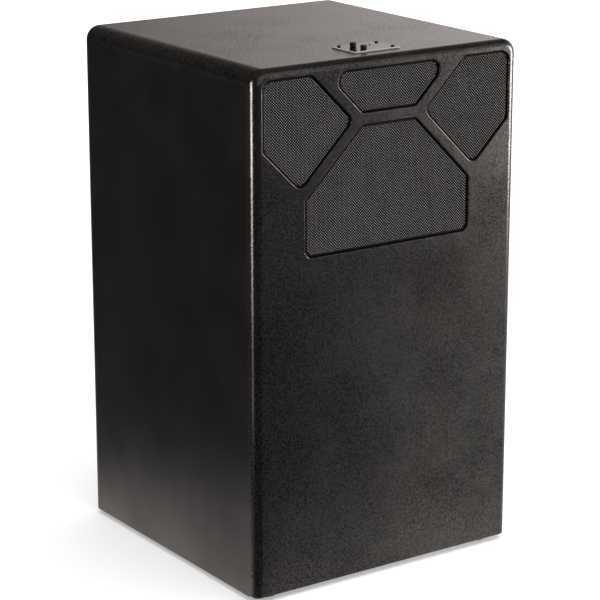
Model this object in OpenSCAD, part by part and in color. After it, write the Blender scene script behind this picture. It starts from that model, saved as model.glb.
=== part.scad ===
// Electronic cajon: a box drum with four trigger pads let into its front, a small control plate
// on the seat, and a loudspeaker, jacks and a battery bay in its back.
// Millimetres, +Z up, front at -Y, origin on the floor under the middle of the box.

/* [Box] */
// Width of the box, side to side
box_w = 300; // [290:1:320]
// Depth of the box, front to back
box_d = 300; // [280:1:320]
// Height of the box without its feet
box_h = 500; // [480:1:560]
// Thickness of the front, side, bottom and back boards
board_t = 12; // [12:1:15]
// Thickness of the seat board
seat_t = 15; // [15:1:18]
// Round-over along the front and back edges
edge_r = 9; // [6:1:10]
// Radius of the two long seat edges, seen from the front
shoulder_r = 14; // [11:1:14]
// Height of the rubber feet
foot_h = 5; // [4:0.5:8]

/* [Trigger pads] */
// Distance from the box's side or top edge to the nearest pad pocket
pad_margin = 10; // [10:0.5:14]
// Width of the bars that part the four pockets
bar_w = 10.5; // [9:0.5:12]
// Depth of the point where the bars meet, below the seat
hub_drop = 56.5; // [54:0.5:62]
// Distance from the middle of the box to the inner tip of a side pocket
tip_x = 40; // [36:1:44]
// Distance from the middle of the box to the lower tip of a side pocket
toe_x = 99; // [94:1:104]
// Half width of the centre pocket
centre_half_w = 94; // [88:1:98]
// Depth of the lower edge of the centre pocket, below the seat
centre_drop = 179; // [170:1:190]
// Depth of the pockets in the front board
pocket_d = 8; // [8:0.5:9]
// Gap round each pad in its pocket
pad_gap = 0.7; // [0.5:0.1:1]
// How far the pads lie below the front face
pad_recess = 1.3; // [1:0.1:2]

/* [Controls] */
// Width of the control plate
plate_w = 52; // [50:1:60]
// Depth of the control plate
plate_d = 37; // [36:1:44]
// Distance from the front face to the control plate
plate_inset = 19.5; // [18:0.5:26]
// Thickness of the control plate
plate_t = 1.6; // [1.2:0.1:2]
// Radius of the two knobs
knob_r = 3; // [2.8:0.1:3.4]
// Height of the two knobs
knob_h = 3.8; // [3:0.1:6]

/* [Back] */
// Height of the loudspeaker's centre above the box's bottom
speaker_z = 235; // [232:1:238]
// Radius of the loudspeaker's frame
speaker_r = 83; // [82:1:84]
// Height of the port's centre above the box's bottom
port_z = 87; // [82:1:92]
// Inner radius of the port tube
port_r = 25; // [20:1:26]
// Height of the row of jacks above the box's bottom
jack_z = 440; // [438:1:444]
// Height of the battery door's hinge above the box's bottom
hinge_z = 399; // [398:1:400]
// Number of battery cells
cells = 6; // [4:2:6]

/* [Hidden] */

$fn = 64;
bite = 1;             // overshoot of a cut past a face
seam = 0.3;           // gap round the removable back
press = 0.02;         // radial room of a screw in its pilot hole
run = 0.05;           // radial room of a shaft in its bearing

// Box
half_w = box_w / 2;
half_d = box_d / 2;
z_low = foot_h;
z_top = foot_h + box_h;
front_y = -half_d;
inner_y = front_y + board_t;
back_y = half_d;
back_in_y = back_y - board_t;
inner_x = half_w - board_t;
floor_z = z_low + board_t;
seat_z = z_top - seat_t;
batten_w = 15;
brace_w = 30;
brace_h = 20;

// Pads, front to back: cover, plate, sensor beside foam
cover_t = 2.2;
stiff_t = 1.5;
sensor_t = 0.8;
sensor_r = 10;
sensor_hole_r = 14;
plate_step = 1;
foam_step = 3;
lead_hole_r = 3;
cover_y = front_y + pad_recess;
stiff_y = cover_y + cover_t;
sensor_y = stiff_y + stiff_t;
pocket_y = front_y + pocket_d;
pad_top_z = z_top - pad_margin;
pad_out_x = half_w - pad_margin;
hub_z = z_top - hub_drop;
bar_run = bar_w * sqrt(2);
side_in_up = hub_z - tip_x;             // z - x along the upper inner edge
side_in_low = hub_z + tip_x;            // z + x along the lower inner edge
side_out_low = side_in_low - 2 * toe_x; // z - x along the lower outer edge
top_edge = side_in_up + bar_run;        // z - x along the top pocket's slant
centre_edge = side_in_low - bar_run;    // z + x along the centre pocket's slant
top_low_z = hub_z + bar_w / 2;
centre_top_z = hub_z - bar_w / 2;
centre_low_z = z_top - centre_drop;

// Outlines as [x, z, corner radius], anticlockwise seen from the front
side_outline = [
    [tip_x, hub_z, 8],
    [toe_x, side_in_low - toe_x, 9],
    [pad_out_x, side_out_low + pad_out_x, 4],
    [pad_out_x, pad_top_z, 10],
    [pad_top_z - side_in_up, pad_top_z, 8]
];
top_outline = [
    [-(top_low_z - top_edge), top_low_z, 4],
    [top_low_z - top_edge, top_low_z, 4],
    [pad_top_z - top_edge, pad_top_z, 10],
    [-(pad_top_z - top_edge), pad_top_z, 10]
];
centre_outline = [
    [-centre_half_w, centre_low_z, 8],
    [centre_half_w, centre_low_z, 8],
    [centre_half_w, centre_edge - centre_half_w, 6],
    [centre_edge - centre_top_z, centre_top_z, 6],
    [-(centre_edge - centre_top_z), centre_top_z, 6],
    [-centre_half_w, centre_edge - centre_half_w, 6]
];
side_spot = [97, hub_z - 6];
top_spot = [0, (pad_top_z + top_low_z) / 2];
centre_spot = [0, (centre_top_z + centre_low_z) / 2];
spots = [[-side_spot[0], side_spot[1]], top_spot, side_spot, centre_spot];

// Controls
plate_y = front_y + plate_inset;
plate_mid_y = plate_y + plate_d / 2;
plate_screw_x = plate_w / 2 - 4.5;
plate_screw_dy = plate_d / 2 - 5.8;
knob_x = -11;
kit_y = plate_y + 6.8;
volume_y = plate_y + 23.5;
led_x = 8;
well_w = 38;
well_d = plate_d - 3;
control_board_z = seat_z + 4;
pcb_t = 1.6;
pot_w = 8.6;
pot_h = 6;
stem_r = 2;
knob_gap = 0.3;

// Loudspeaker, distances along Y
rebate_y = back_y - 6.6;
flange_t = 2;
grille_y = back_y - 1.7;
grille_t = 1.2;
grille_r = speaker_r + 7;
cut_r = speaker_r - 10;
basket_in_r = cut_r - 2.5;
speaker_bolt_r = speaker_r - 5;
cone_r = 60;
cone_deep_y = back_y - 32;
former_r = 13.6;
former_t = 0.6;
gap_r = former_r + 0.6;
pole_r = former_r - former_t - 0.5;
basket_y = back_y - 50;
magnet_r = 45;
magnet_d = 26;
speaker_mid = z_low + speaker_z;

// Port
port_wall = 3;
port_flange_r = port_r + 13;
port_flange_t = 3;
port_flare = 8;
port_len = 90;
port_mid = z_low + port_z;

// Jack bay
bay_w = 160;
bay_h = 46;
bay_y = back_y - 6;
bay_cut_w = 144;
bay_cut_h = 30;
steel_t = 1.5;
steel_y = bay_y + steel_t;
jack_mid = z_low + jack_z;
jack_floor = jack_mid - 7.4;
switch_x = 55;
dc_x = 30;
line_x = 5;
phones_x = -22;
aux_x = -47;
line_r = 3.2;
mini_r = 1.8;
rocker_tilt = 8;
rocker_y = back_y - 6.5;

// Battery bay
cell_r = 7.1;
cell_len = 49;
cell_pitch = 15;
bay_half = cells * cell_pitch / 2 + 1.5;
door_half = bay_half + 1.1;
door_h = 59;
door_t = 2.4;
door_y = back_y - 2.6;
pin_y = back_y - 2;
pin_r = 1;
knuckle_r = 1.8;
swing_drop = 3.2;     // the door's upper edge below the pin, clear of the ears as it swings
pin_z = z_low + hinge_z;
frame_y = back_y - 5.5;
ledge_y = back_y - 3;
tub_y = back_y - 28;

// Feet
foot_r = 11;
foot_x = half_w - 24;
foot_y = half_d - 20;
screw_r = 1.75;
head_r = 3.6;

// Main board, its amplifier chip under the heat sink, and the plugs of the leads as [x, y]
board_y = -60;
board_w = 140;
board_d = 90;
board_z = floor_z + 8;
board_top = board_z + pcb_t;
chip_w = 18;
chip_h = 2;
chip_at = [10, board_y + 48];
sink_w = 44;
sink_d = 36;
plug_w = 8;
plug_d = 12;
plug_h = 8;
pad_plug_at = [-48, board_y + 38];
pad_plug_d = 36;
control_plug_at = [-24, board_y + 40];
speaker_plug_at = [22, board_y + 80];
battery_plug_at = [-4, board_y + 80];
jack_plug_at = [-30, board_y + 80];
plug_z = board_top + plug_h;

// ---- Geometry helpers ----

// Unit vector from a to b
function unit(a, b) = (b - a) / norm(b - a);
function spot(p) = [p[0], p[1]];
// Neighbours of corner i
function before(o, i) = spot(o[(i + len(o) - 1) % len(o)]);
function after(o, i) = spot(o[(i + 1) % len(o)]);
// Half of the angle inside corner i
function half_angle(o, i) =
    acos(unit(spot(o[i]), before(o, i)) * unit(spot(o[i]), after(o, i))) / 2;
// Point at the given distance from both edges of corner i
function inner_point(o, i, d) =
    spot(o[i]) + d / sin(half_angle(o, i))
    * unit([0, 0], unit(spot(o[i]), before(o, i)) + unit(spot(o[i]), after(o, i)));
// The outline drawn in by d all round
function inset(o, d) = [
    for (i = [0 : len(o) - 1])
        [inner_point(o, i, d)[0], inner_point(o, i, d)[1], max(o[i][2] - d, 0.5)]
];
// Where the rounding of corner i starts on the edge before it and ends on the edge after it
function tangent(o, i, other) =
    spot(o[i]) + o[i][2] / tan(half_angle(o, i)) * unit(spot(o[i]), other);

// A convex outline with every corner rounded to its own radius
module rounded(o) {
    polygon([for (i = [0 : len(o) - 1]) each [tangent(o, i, before(o, i)), tangent(o, i, after(o, i))]]);
    for (i = [0 : len(o) - 1])
        translate(inner_point(o, i, o[i][2]))
            circle(r = o[i][2]);
}

// A rectangle centred on the origin with rounded corners
module round_rect(w, h, r) {
    rounded([[-w / 2, -h / 2, r], [w / 2, -h / 2, r], [w / 2, h / 2, r], [-w / 2, h / 2, r]]);
}

// A drawing in X and Z, made solid between two distances along Y
module along_y(y0, y1) {
    translate([0, y1, 0])
        rotate([90, 0, 0])
            linear_extrude(y1 - y0)
                children();
}

// A round bar along Y at x, z
module rod_y(x, z, r, y0, y1) {
    translate([x, y1, z])
        rotate([90, 0, 0])
            cylinder(r = r, h = y1 - y0);
}

// A drawing of radius against distance along Y, turned about a line along Y at x, z
module turned_y(x, z) {
    translate([x, 0, z])
        rotate([-90, 0, 0])
            rotate_extrude()
                children();
}

// A box from its lowest to its highest corner
module block(low, high) {
    translate(low)
        cube(high - low);
}

// A pair: the children and their mirror image in X
module both_sides() {
    children();
    mirror([1, 0, 0])
        children();
}

// A screw along Y with a countersunk head whose face is at y_face, pointing forwards
module countersunk_y(x, z, r, head, y_face, length) {
    rod_y(x, z, r, y_face - length, y_face - head * 0.5);
    translate([x, y_face, z])
        rotate([90, 0, 0])
            cylinder(r1 = head, r2 = r, h = head * 0.6);
}

// Section of the long edge of a front or back board: flat, then rounded over
module edge_section(t) {
    intersection() {
        square([shoulder_r, t]);
        union() {
            square([shoulder_r - edge_r, t]);
            translate([0, edge_r])
                square([shoulder_r, t]);
            translate([shoulder_r - edge_r, edge_r])
                circle(r = edge_r);
        }
    }
}

// A whole front or back board, outer face at y = 0, of thickness t towards +Y
module faced_board(t) {
    flat_x = half_w - shoulder_r;
    flat_z = z_top - shoulder_r;
    block([-flat_x, 0, z_low], [flat_x, t, flat_z]);
    both_sides()
        translate([flat_x, 0, z_low])
            linear_extrude(flat_z - z_low)
                edge_section(t);
    translate([-flat_x, 0, flat_z])
        rotate([90, 0, 90])
            linear_extrude(2 * flat_x)
                mirror([1, -1, 0])
                    edge_section(t);
    both_sides()
        translate([flat_x, 0, flat_z])
            rotate([-90, 0, 0])
                rotate([0, 0, -90])
                    rotate_extrude(angle = 90)
                        edge_section(t);
}

// ---- Box ----

module front_plate() {
    color("#2b2a2a")
        difference() {
            translate([0, front_y, 0])
                faced_board(board_t);
            along_y(front_y - bite, pocket_y)
                rounded(top_outline);
            along_y(front_y - bite, pocket_y)
                rounded(centre_outline);
            both_sides()
                along_y(front_y - bite, pocket_y)
                    rounded(side_outline);
            for (p = spots)
                rod_y(p[0], p[1], lead_hole_r, front_y, inner_y + bite);
        }
}

module seat_top() {
    color("#3a3838")
        difference() {
            union() {
                block([-half_w, inner_y, seat_z], [half_w, back_in_y - seam, z_top - shoulder_r]);
                along_y(inner_y, back_in_y - seam)
                    intersection() {
                        translate([-half_w, z_top - shoulder_r])
                            square([box_w, shoulder_r]);
                        union() {
                            translate([-half_w + shoulder_r, seat_z])
                                square([box_w - 2 * shoulder_r, seat_t]);
                            for (s = [-1, 1])
                                translate([s * (half_w - shoulder_r), z_top - shoulder_r])
                                    circle(r = shoulder_r);
                        }
                    }
            }
            translate([0, plate_mid_y, 0])
                block([-well_w / 2, -well_d / 2, seat_z - bite], [well_w / 2, well_d / 2, z_top + bite]);
            plate_screw_places()
                translate([0, 0, z_top - 9])
                    cylinder(r = 1 + press, h = 9 + bite);
            for (s = [-1, 1])
                rod_y(s * 60, seat_z + 5, screw_r + press, back_in_y - 16, back_in_y + bite);
        }
}

module side_board() {
    color("#262525")
        block([-half_w, inner_y, z_low], [-inner_x, back_in_y - seam, seat_z]);
}

module left_side() {
    side_board();
}

module right_side() {
    mirror([1, 0, 0])
        side_board();
}

module bottom_panel() {
    color("#262525")
        difference() {
            block([-inner_x, inner_y, z_low], [inner_x, back_in_y - seam, floor_z]);
            foot_places()
                translate([0, 0, -bite])
                    cylinder(r = screw_r + press, h = 9 + bite);
            for (s = [-1, 1])
                rod_y(s * 60, z_low + 6, screw_r + press, back_in_y - 16, back_in_y + bite);
        }
}

module back_panel() {
    color("#2b2a2a")
        difference() {
            mirror([0, 1, 0])
                translate([0, -back_y, 0])
                    faced_board(board_t);
            rod_y(0, speaker_mid, cut_r, back_in_y - bite, back_y);
            rod_y(0, speaker_mid, grille_r + 0.3, rebate_y, back_y + bite);
            for (a = [30 : 60 : 330])
                rod_y(speaker_bolt_r * cos(a), speaker_mid + speaker_bolt_r * sin(a),
                      1.6 + press, back_in_y + 1, back_y);
            rod_y(0, port_mid, port_r + port_wall + 0.2, back_in_y - bite, back_y);
            rod_y(0, port_mid, port_flange_r + 0.2, back_y - port_flange_t, back_y + bite);
            translate([0, 0, jack_mid]) {
                along_y(bay_y, back_y + bite)
                    round_rect(bay_w, bay_h, 4);
                along_y(back_in_y - bite, back_y)
                    square([bay_cut_w, bay_cut_h], center = true);
            }
            for (p = jack_screw_spots())
                rod_y(p[0], p[1], 1.3 + press, back_in_y + 1, back_y);
            along_y(frame_y, back_y + bite)
                bezel_outline(0.2);
            along_y(back_in_y - bite, back_y)
                tub_outline(0.2);
            for (p = back_screw_spots()) {
                rod_y(p[0], p[1], screw_r + press, back_in_y - bite, back_y);
                translate([p[0], back_face(p), p[1]])
                    rotate([90, 0, 0])
                        cylinder(r1 = head_r + press, r2 = screw_r, h = head_r * 0.6);
                rod_y(p[0], p[1], head_r + press, back_face(p), back_y + bite);
            }
        }
}

// The screws near the round-over are set a little deeper
function back_face(p) = p[1] > seat_z ? back_y - 0.6 : back_y;
function back_screw_spots() = concat(
    [for (s = [-1, 1], i = [0 : 4]) [s * (inner_x - batten_w / 2), z_low + 35 + i * 105]],
    [for (s = [-1, 1]) [s * 60, seat_z + 5]],
    [for (s = [-1, 1]) [s * 60, z_low + 6]]
);
function jack_screw_spots() = [
    for (s = [-1, 1], t = [-1, 1]) [s * (bay_w / 2 - 4.5), jack_mid + t * 15]
];

module front_battens() {
    color("#b8946a")
        both_sides()
            block([-inner_x, inner_y, floor_z], [-inner_x + batten_w, inner_y + batten_w, seat_z]);
}

module back_battens() {
    color("#b8946a")
        both_sides()
            difference() {
                block([-inner_x, back_in_y - seam - batten_w, floor_z],
                      [-inner_x + batten_w, back_in_y - seam, seat_z]);
                for (p = back_screw_spots())
                    rod_y(p[0], p[1], screw_r + press, back_in_y - seam - 12, back_in_y);
            }
}

module seat_brace() {
    color("#b8946a")
        block([-inner_x, -brace_w / 2, seat_z - brace_h], [inner_x, brace_w / 2, seat_z]);
}

// ---- Trigger pads ----

module pad_cover(outline) {
    color("#4a4848")
        along_y(cover_y, stiff_y)
            rounded(inset(outline, pad_gap));
}

module pad_plate(outline) {
    color("#1c1c1e")
        along_y(stiff_y, sensor_y)
            rounded(inset(outline, pad_gap + plate_step));
}

module pad_sensor(p) {
    color("#c9a13b")
        rod_y(p[0], p[1], sensor_r, sensor_y, sensor_y + sensor_t);
}

module pad_foam(outline, p) {
    color("#50545a")
        difference() {
            along_y(sensor_y, pocket_y)
                rounded(inset(outline, pad_gap + foam_step));
            rod_y(p[0], p[1], sensor_hole_r, sensor_y - bite, pocket_y + bite);
        }
}

module mirrored() {
    mirror([1, 0, 0])
        children();
}

// ---- Controls on the seat ----

module plate_screw_places() {
    for (sx = [-1, 1], sy = [-1, 1])
        translate([sx * plate_screw_x, plate_mid_y + sy * plate_screw_dy, 0])
            children();
}

module control_plate() {
    color("#141414")
        difference() {
            translate([0, plate_mid_y, z_top])
                linear_extrude(plate_t)
                    round_rect(plate_w, plate_d, 2);
            plate_screw_places()
                translate([0, 0, z_top - bite])
                    cylinder(r = 1.1, h = plate_t + 2 * bite);
            for (y = [kit_y, volume_y])
                translate([knob_x, y, z_top - bite])
                    cylinder(r = stem_r + 0.3, h = plate_t + 2 * bite);
            translate([led_x, volume_y, z_top - bite])
                cylinder(r = 1.3, h = plate_t + 2 * bite);
        }
}

module control_screws() {
    color("#101010")
        plate_screw_places() {
            translate([0, 0, z_top - 8])
                cylinder(r = 1, h = 8 + plate_t);
            translate([0, 0, z_top + plate_t])
                difference() {
                    cylinder(r = 1.8, h = 1.1);
                    translate([0, 0, 0.5])
                        cylinder(r = 0.8, h = 1, $fn = 6);
                }
        }
}

module knob(y) {
    low = z_top + plate_t + knob_gap;
    color("#0c0c0c")
        translate([knob_x, y, 0])
            difference() {
                union() {
                    translate([0, 0, low])
                        cylinder(r = knob_r, h = knob_h);
                    translate([0, 0, control_board_z + pcb_t + 1])
                        cylinder(r = stem_r, h = low - control_board_z - pcb_t - 1);
                }
                translate([-0.3, 0.6, low + knob_h - 0.5])
                    cube([0.6, knob_r, bite]);
            }
}

module volume_knob() {
    knob(volume_y);
}

module kit_knob() {
    knob(kit_y);
}

// Case and bush of a small rotary part, open for the knob's stem
module rotary_case(y, bush_r) {
    low = control_board_z + pcb_t;
    translate([knob_x, y, low])
        difference() {
            union() {
                translate([-pot_w / 2, -pot_w / 2, 0])
                    cube([pot_w, pot_w, pot_h]);
                cylinder(r = bush_r, h = z_top - low);
            }
            translate([0, 0, 1 - run])
                cylinder(r = stem_r + run, h = z_top - low);
        }
}

module volume_pot() {
    color("#4d6b57")
        rotary_case(volume_y, 3.2);
}

module kit_switch() {
    color("#35557a")
        rotary_case(kit_y, 3.2);
}

module control_board() {
    color("#1f5a34")
        translate([0, plate_mid_y, control_board_z])
            linear_extrude(pcb_t)
                square([well_w - 2, well_d - 2], center = true);
}

module status_led() {
    color("#7a1512")
        translate([led_x, volume_y, control_board_z + pcb_t]) {
            cylinder(r = 1.25, h = z_top + plate_t - control_board_z - pcb_t);
            translate([0, 0, z_top + plate_t - control_board_z - pcb_t])
                cylinder(r1 = 1.25, r2 = 0.6, h = 0.6);
        }
}

// ---- Electronics on the floor of the box ----

module board_corners() {
    for (sx = [-1, 1], sy = [0, 1])
        translate([sx * (board_w / 2 - 5), board_y + 5 + sy * (board_d - 10), 0])
            children();
}

// A block standing on the main board, centred at p
module on_board(p, w, d, h) {
    block([p[0] - w / 2, p[1] - d / 2, board_top], [p[0] + w / 2, p[1] + d / 2, board_top + h]);
}

module main_board() {
    can_r = 6;
    can_h = 16;
    color("#1f5a34") {
        block([-board_w / 2, board_y, board_z], [board_w / 2, board_y + board_d, board_top]);
        on_board(chip_at, chip_w, chip_w, chip_h);
        on_board(pad_plug_at, plug_w, pad_plug_d, plug_h);
        for (p = [control_plug_at, speaker_plug_at, battery_plug_at, jack_plug_at])
            on_board(p, plug_w, plug_d, plug_h);
        for (i = [0 : 3])
            translate([board_w / 2 - 20, board_y + 18 + i * 18, board_top])
                cylinder(r = can_r, h = can_h);
    }
}

module board_standoffs() {
    color("#c8a850")
        board_corners()
            translate([0, 0, floor_z])
                cylinder(r = 3, h = board_z - floor_z);
}

module heat_sink() {
    fins = 7;
    fin_t = 1.6;
    fin_h = 18;
    base_t = 4;
    color("#9a9c9e")
        translate([chip_at[0] - sink_w / 2, chip_at[1] - sink_d / 2, board_top + chip_h]) {
            cube([sink_w, sink_d, base_t]);
            for (i = [0 : fins - 1])
                translate([i * (sink_w - fin_t) / (fins - 1), 0, base_t])
                    cube([fin_t, sink_d, fin_h]);
        }
}

// ---- Loudspeaker and port ----

module speaker_basket() {
    color("#303234")
        difference() {
            turned_y(0, speaker_mid)
                polygon([
                    [former_r + 4, basket_y], [magnet_r + 6, basket_y],
                    [cut_r - 0.5, rebate_y - 9], [cut_r - 0.5, rebate_y],
                    [speaker_r, rebate_y], [speaker_r, rebate_y + flange_t],
                    [basket_in_r, rebate_y + flange_t], [basket_in_r, rebate_y - 8.4],
                    [magnet_r + 4, basket_y + 2], [former_r + 4, basket_y + 2]
                ]);
            for (a = [0 : 60 : 300])
                translate([0, 0, speaker_mid])
                    rotate([0, a, 0])
                        along_y(basket_y + 4, rebate_y - 6)
                            translate([62, 0])
                                square([40, 38], center = true);
            for (a = [30 : 60 : 330])
                rod_y(speaker_bolt_r * cos(a), speaker_mid + speaker_bolt_r * sin(a),
                      1.8, rebate_y - bite, rebate_y + flange_t + bite);
        }
}

module speaker_magnet() {
    color("#1d1d1f")
        difference() {
            rod_y(0, speaker_mid, magnet_r, basket_y - magnet_d, basket_y);
            turned_y(0, speaker_mid)
                translate([pole_r, basket_y - 16])
                    square([gap_r - pole_r, 16 + bite]);
        }
}

module speaker_cone() {
    color("#18181a") {
        turned_y(0, speaker_mid)
            polygon([
                [former_r - former_t, basket_y - 12], [former_r, basket_y - 12],
                [former_r, cone_deep_y - 1], [cone_r, rebate_y + flange_t - 0.8],
                [cone_r, rebate_y + flange_t], [former_r + 8, cone_deep_y + 4.8],
                [former_r + 4, cone_deep_y + 8], [former_r - 5, cone_deep_y + 11],
                [0, cone_deep_y + 12], [0, cone_deep_y + 11.2],
                [former_r - 5, cone_deep_y + 10.2], [former_r - former_t, cone_deep_y + 2]
            ]);
    }
}

// Rubber roll between the cone and the frame, curved inwards, with its outer land on the flange
module speaker_surround() {
    roll_t = 0.6;
    roll_r = (basket_in_r - 0.3 - cone_r) / 2;
    face = rebate_y + flange_t;
    color("#202022")
        turned_y(0, speaker_mid) {
            intersection() {
                difference() {
                    translate([cone_r + roll_r, face + roll_t])
                        circle(r = roll_r);
                    translate([cone_r + roll_r, face + roll_t])
                        circle(r = roll_r - roll_t);
                }
                translate([cone_r, face - roll_r])
                    square([2 * roll_r, roll_r + roll_t]);
            }
            translate([cone_r + 2 * roll_r - roll_t, face])
                square([4.4, roll_t]);
        }
}

module speaker_grille() {
    pitch = 14;
    hole_r = 5.2;
    rows = 6;
    color("#232425")
        difference() {
            union() {
                rod_y(0, speaker_mid, grille_r, grille_y, grille_y + grille_t);
                turned_y(0, speaker_mid)
                    translate([grille_r - 2, rebate_y])
                        square([2, grille_y + grille_t - rebate_y]);
            }
            for (i = [-rows : rows], j = [-rows : rows])
                if (norm([pitch * (i + j / 2), pitch * j * sqrt(3) / 2]) < grille_r - 10)
                    rod_y(pitch * (i + j / 2), speaker_mid + pitch * j * sqrt(3) / 2,
                          hole_r, grille_y - bite, back_y + bite);
        }
}

module speaker_screws() {
    color("#111111")
        for (a = [30 : 60 : 330]) {
            rod_y(speaker_bolt_r * cos(a), speaker_mid + speaker_bolt_r * sin(a),
                  1.6, back_in_y + 1.2, rebate_y + flange_t);
            rod_y(speaker_bolt_r * cos(a), speaker_mid + speaker_bolt_r * sin(a),
                  3, rebate_y + flange_t, rebate_y + flange_t + 1.8);
        }
}

module port_tube() {
    color("#1a1a1b")
        turned_y(0, port_mid)
            difference() {
                union() {
                    translate([port_r, back_y - port_len])
                        square([port_wall, port_len]);
                    translate([port_r, back_y - port_flange_t])
                        square([port_flange_r - port_r, port_flange_t]);
                    translate([port_r, back_y - port_flare])
                        square([port_wall, port_flare]);
                }
                difference() {
                    translate([port_r - bite, back_y - port_flange_t + 0.6])
                        square([port_flange_t + bite, port_flange_t]);
                    translate([port_r + port_flange_t - 0.6, back_y - port_flange_t + 0.6])
                        circle(r = port_flange_t - 0.6);
                }
            }
}

// ---- Jack bay ----

module jack_plate() {
    color("#202122")
        difference() {
            translate([0, 0, jack_mid])
                along_y(bay_y, steel_y)
                    round_rect(bay_w - 1, bay_h - 1, 3.5);
            rod_y(line_x, jack_mid, 5.6, bay_y - bite, steel_y + bite);
            rod_y(phones_x, jack_mid, 3.1, bay_y - bite, steel_y + bite);
            rod_y(aux_x, jack_mid, 3.1, bay_y - bite, steel_y + bite);
            rod_y(dc_x, jack_mid, 5.1, bay_y - bite, steel_y + bite);
            translate([switch_x, 0, jack_mid])
                along_y(bay_y - bite, steel_y + bite)
                    square([13.2, 18.6], center = true);
            for (p = jack_screw_spots())
                rod_y(p[0], p[1], 1.5, bay_y - bite, steel_y + bite);
        }
}

module jack_plate_screws() {
    color("#111111")
        for (p = jack_screw_spots()) {
            rod_y(p[0], p[1], 1.3, back_in_y + 1.2, steel_y);
            rod_y(p[0], p[1], 2.6, steel_y, steel_y + 1.5);
        }
}

// Body, bush, ring nut and blind bore of a jack with its mouth towards the back
module jack(x, body_w, body_h, body_d, bush_r, nut_r, mouth_y, bore_r, bore_d) {
    difference() {
        union() {
            block([x - body_w / 2, bay_y - body_d, jack_floor],
                  [x + body_w / 2, bay_y, jack_floor + body_h]);
            rod_y(x, jack_mid, bush_r, bay_y, mouth_y);
            rod_y(x, jack_mid, nut_r, steel_y, mouth_y - 0.6);
        }
        rod_y(x, jack_mid, bore_r, mouth_y - bore_d, mouth_y + bite);
    }
}

module line_out_jack() {
    color("#2a2a2c")
        jack(line_x, 16, 14.8, 31, 5.5, 7, back_y - 1.8, line_r, 32);
}

module phones_jack() {
    color("#2a2a2c")
        jack(phones_x, 9, 12, 15, 3, 4.4, back_y - 2.4, mini_r, 15);
}

module aux_jack() {
    color("#2a2a2c")
        jack(aux_x, 9, 12, 15, 3, 4.4, back_y - 2.4, mini_r, 15);
}

module dc_jack() {
    color("#2a2a2c") {
        jack(dc_x, 11, 13, 13, 5, 6.4, back_y - 2.4, 3.1, 10);
        rod_y(dc_x, jack_mid, 1.05, back_y - 12.4, back_y - 4);
    }
}

module jack_board() {
    color("#1f5a34")
        block([aux_x - 8, bay_y - 38, jack_floor - pcb_t], [dc_x + 8, bay_y - 1, jack_floor]);
}

module switch_housing() {
    color("#151516")
        translate([switch_x, 0, jack_mid])
            difference() {
                union() {
                    along_y(steel_y, back_y - 2.5)
                        round_rect(16, 22, 1);
                    along_y(bay_y - 18, steel_y)
                        square([13, 18.4], center = true);
                }
                along_y(rocker_y - 6, back_y)
                    square([10, 17], center = true);
                translate([-8, rocker_y, 0])
                    rotate([0, 90, 0])
                        cylinder(r = pin_r + run, h = 14);
            }
}

module switch_rocker() {
    color("#0b0b0c")
        translate([switch_x, rocker_y, jack_mid])
            rotate([-rocker_tilt, 0, 0]) {
                rotate([90, 0, 90])
                    linear_extrude(9.4, center = true)
                        polygon([
                            [2, -7.6], [4.6, -7.6], [3.8, 0], [4.6, 7.6], [2, 7.6], [-3, 2], [-3, -2]
                        ]);
                rotate([0, 90, 0])
                    cylinder(r = pin_r, h = 12, center = true);
            }
}

// ---- Battery bay ----

// Outer edge of the bezel, grown by g
module bezel_outline(g) {
    translate([0, pin_z - 28])
        round_rect(2 * (door_half + 6.4 + g), 75 + 2 * g, 5);
}

// Outer edge of the tub, grown by g
module tub_outline(g) {
    translate([0, pin_z - 29])
        square([2 * (bay_half + 2 + g), 56 + 2 * g], center = true);
}

module battery_box() {
    ear_in = door_half - 6;
    color("#1b1b1c")
        difference() {
            union() {
                along_y(frame_y, back_y)
                    bezel_outline(0);
                along_y(tub_y, frame_y)
                    tub_outline(0);
            }
            along_y(tub_y + 2, back_y + bite)
                translate([0, pin_z - 29])
                    square([2 * bay_half, 52], center = true);
            difference() {
                block([-door_half - 0.4, ledge_y, pin_z - door_h - 0.4],
                      [door_half + 0.4, back_y + bite, pin_z + 3.4]);
                both_sides()
                    block([ear_in, ledge_y - bite, pin_z - 2], [door_half + 1, back_y - 0.1, pin_z + 2]);
            }
            block([-ear_in, ledge_y - 1.2, pin_z - 2.2], [ear_in, back_y, pin_z + 2.2]);
            translate([-door_half - 0.4, pin_y, pin_z])
                rotate([0, 90, 0])
                    cylinder(r = pin_r + press, h = 2 * door_half + 0.8);
            rod_y(0, pin_z - door_h - 2, 7, ledge_y + 1.4, back_y + bite);
        }
}

module battery_door() {
    ear_in = door_half - 6.4;
    edge_z = pin_z - swing_drop;
    color("#222223")
        difference() {
            union() {
                block([-door_half, door_y, pin_z - door_h], [door_half, door_y + door_t, edge_z]);
                block([-ear_in, door_y, edge_z - bite], [ear_in, door_y + door_t, pin_z]);
                translate([-ear_in, pin_y, pin_z])
                    rotate([0, 90, 0])
                        cylinder(r = knuckle_r, h = 2 * ear_in);
                for (i = [0 : 5])
                    block([-12, door_y + door_t - 0.2, pin_z - door_h + 5 + i * 2.4],
                          [12, door_y + door_t + 0.15, pin_z - door_h + 6 + i * 2.4]);
            }
            translate([-door_half, pin_y, pin_z])
                rotate([0, 90, 0])
                    cylinder(r = pin_r + run, h = 2 * door_half);
        }
}

module hinge_pin() {
    color("#c0c0c0")
        translate([-door_half + 0.6, pin_y, pin_z])
            rotate([0, 90, 0])
                cylinder(r = pin_r, h = 2 * door_half - 1.2);
}

module batteries() {
    color("#8c2f22")
        for (i = [0 : cells - 1])
            translate([(i - (cells - 1) / 2) * cell_pitch, tub_y + 2.5 + cell_r, pin_z - 54.5]) {
                cylinder(r = cell_r, h = cell_len);
                cylinder(r = 2.6, h = cell_len + 1.2);
            }
}

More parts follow.
